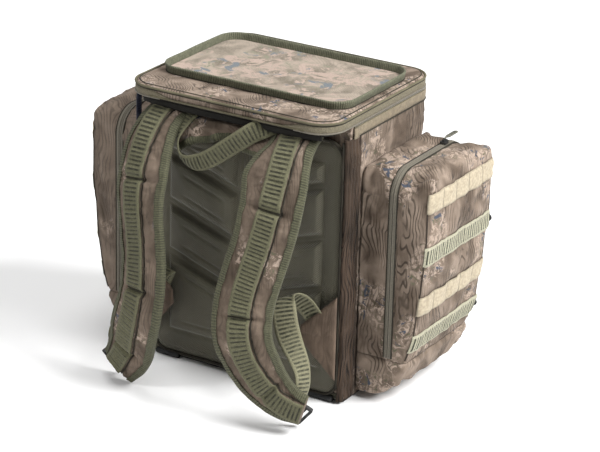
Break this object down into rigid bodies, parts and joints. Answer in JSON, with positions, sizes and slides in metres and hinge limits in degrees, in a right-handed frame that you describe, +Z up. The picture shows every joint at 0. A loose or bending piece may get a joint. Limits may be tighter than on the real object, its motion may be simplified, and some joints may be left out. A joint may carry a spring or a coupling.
{
  "type": "tackle backpack",
  "caption": "Boxy camouflage fishing backpack with a zipped tray lid, webbing-covered side pockets, a grab handle and padded shoulder straps.",
  "frame": {"origin": "on the floor under the middle of the pack's overall box", "axes": "+Z up; the shoulder straps face -Y; +X is to the right when the straps are seen from the front of them"},
  "size_m": [0.491, 0.4084, 0.4],
  "materials": {
    "camo_fabric": "printed coated polyester with a bark-like camouflage",
    "moulded_eva": "moulded foam covered in a dark olive ribbed knit",
    "green_webbing": "ribbed olive green polyester webbing",
    "tan_webbing": "smooth khaki tan webbing",
    "zip_tape": "olive zip tape with a nylon coil",
    "lining": "plain dark woven lining",
    "base_fabric": "dark coated base fabric",
    "stiffener": "plain plastic sheet",
    "black_plastic": "satin black acetal",
    "slider_metal": "dark painted zinc",
    "puller_tape": "dark navy rubberised tape"
  },
  "bodies": {
    "pack": {"base_panel": "base_fabric", "base_board": "stiffener", "back_wall": "lining", "front_wall": "camo_fabric", "right_wall": "camo_fabric", "left_wall": "camo_fabric", "eave_panel": "lining", "top_binding": "tan_webbing", "body_zip": "zip_tape", "right_gusset": "camo_fabric", "left_gusset": "camo_fabric", "back_pad": "moulded_eva", "yoke_panel": "camo_fabric", "right_pocket_back": "camo_fabric", "right_pocket_toe": "camo_fabric", "right_pocket_zip": "zip_tape", "left_pocket_back": "camo_fabric", "left_pocket_toe": "camo_fabric", "left_pocket_zip": "zip_tape", "front_pocket_back": "camo_fabric", "front_pocket_toe": "camo_fabric", "front_pocket_zip": "zip_tape", "right_wing_tab": "camo_fabric", "left_wing_tab": "camo_fabric", "right_adjuster": "green_webbing", "left_adjuster": "green_webbing"},
    "lid": {"lid_panel": "camo_fabric", "lid_lining": "lining", "lid_zip": "zip_tape", "lid_piping": "zip_tape", "tray_floor": "camo_fabric", "tray_rim": "green_webbing"},
    "lid_slider": {"lid_slider": "slider_metal"},
    "lid_puller": {"lid_puller": "puller_tape"},
    "right_door": {"right_pocket_door": "camo_fabric", "right_door_zip": "zip_tape", "right_tan_webbing": "tan_webbing", "right_green_webbing": "green_webbing"},
    "left_door": {"left_pocket_door": "camo_fabric", "left_door_zip": "zip_tape", "left_tan_webbing": "tan_webbing", "left_green_webbing": "green_webbing"},
    "front_door": {"front_pocket_door": "camo_fabric", "front_door_zip": "zip_tape", "front_webbing": "green_webbing"},
    "handle": {"grab_handle": "green_webbing"},
    "right_strap": {"right_strap_pad": "camo_fabric", "right_strap_webbing": "green_webbing"},
    "left_strap": {"left_strap_pad": "camo_fabric", "left_strap_webbing": "green_webbing"},
    "right_buckle": {"right_ladder_lock": "black_plastic"},
    "left_buckle": {"left_ladder_lock": "black_plastic"},
    "right_slider": {"right_pocket_slider": "slider_metal"},
    "right_puller": {"right_pocket_puller": "puller_tape"},
    "left_slider": {"left_pocket_slider": "slider_metal"},
    "left_puller": {"left_pocket_puller": "puller_tape"},
    "front_slider": {"front_pocket_slider": "slider_metal"},
    "front_puller": {"front_pocket_puller": "puller_tape"}
  },
  "joints": [
    {"name": "lid_hinge", "type": "hinge", "parent": "pack", "child": "lid", "pos_m": [0, -0.112, 0.3733], "axis": [1, 0, 0], "range_deg": [0, 110]},
    {"name": "lid_slide", "type": "slide", "parent": "pack", "child": "lid_slider", "axis": [0, 1, 0], "range_m": [0, 0.165]},
    {"name": "lid_puller_swing", "type": "hinge", "parent": "lid_slider", "child": "lid_puller", "pos_m": [-0.1566, -0.072, 0.373], "axis": [0, 1, 0], "range_deg": [0, 100]},
    {"name": "right_door_hinge", "type": "hinge", "parent": "pack", "child": "right_door", "pos_m": [0.219, 0.0545, 0.06215], "axis": [0, 1, 0], "range_deg": [0, 90]},
    {"name": "left_door_hinge", "type": "hinge", "parent": "pack", "child": "left_door", "pos_m": [-0.219, 0.0545, 0.06215], "axis": [0, -1, 0], "range_deg": [0, 90]},
    {"name": "front_door_hinge", "type": "hinge", "parent": "pack", "child": "front_door", "pos_m": [0, 0.195, 0.05215], "axis": [-1, 0, 0], "range_deg": [0, 90]},
    {"name": "right_slide", "type": "slide", "parent": "pack", "child": "right_slider", "axis": [0, -1, 0], "range_m": [0, 0.1]},
    {"name": "left_slide", "type": "slide", "parent": "pack", "child": "left_slider", "axis": [0, -1, 0], "range_m": [0, 0.1]},
    {"name": "front_slide", "type": "slide", "parent": "pack", "child": "front_slider", "axis": [1, 0, 0], "range_m": [0, 0.12]},
    {"name": "right_puller_flip", "type": "hinge", "parent": "right_slider", "child": "right_puller", "pos_m": [0.19385, 0.0965, 0.322], "axis": [1, 0, 0], "range_deg": [0, 165]},
    {"name": "left_puller_flip", "type": "hinge", "parent": "left_slider", "child": "left_puller", "pos_m": [-0.19385, 0.0965, 0.322], "axis": [1, 0, 0], "range_deg": [0, 165]},
    {"name": "front_puller_flip", "type": "hinge", "parent": "front_slider", "child": "front_puller", "pos_m": [-0.06, 0.16985, 0.261], "axis": [0, 1, 0], "range_deg": [0, 165]},
    {"name": "handle_swing", "type": "hinge", "parent": "pack", "child": "handle", "pos_m": [0, -0.106, 0.3665], "axis": [1, 0, 0], "range_deg": [-75, 25]},
    {"name": "right_strap_swing", "type": "hinge", "parent": "pack", "child": "right_strap", "pos_m": [0, -0.1, 0.3575], "axis": [-1, 0, 0], "range_deg": [-5, 10], "deforming": ["right_adjuster"]},
    {"name": "left_strap_swing", "type": "hinge", "parent": "pack", "child": "left_strap", "pos_m": [0, -0.1, 0.3575], "axis": [-1, 0, 0], "range_deg": [-5, 10], "deforming": ["left_adjuster"]},
    {"name": "right_buckle_tilt", "type": "hinge", "parent": "right_strap", "child": "right_buckle", "pos_m": [0.132, -0.156, 0.031], "axis": [0.9806, 0.1961, 0], "range_deg": [-25, 25]},
    {"name": "left_buckle_tilt", "type": "hinge", "parent": "left_strap", "child": "left_buckle", "pos_m": [-0.132, -0.156, 0.031], "axis": [0.9806, -0.1961, 0], "range_deg": [-25, 25]}
  ]
}
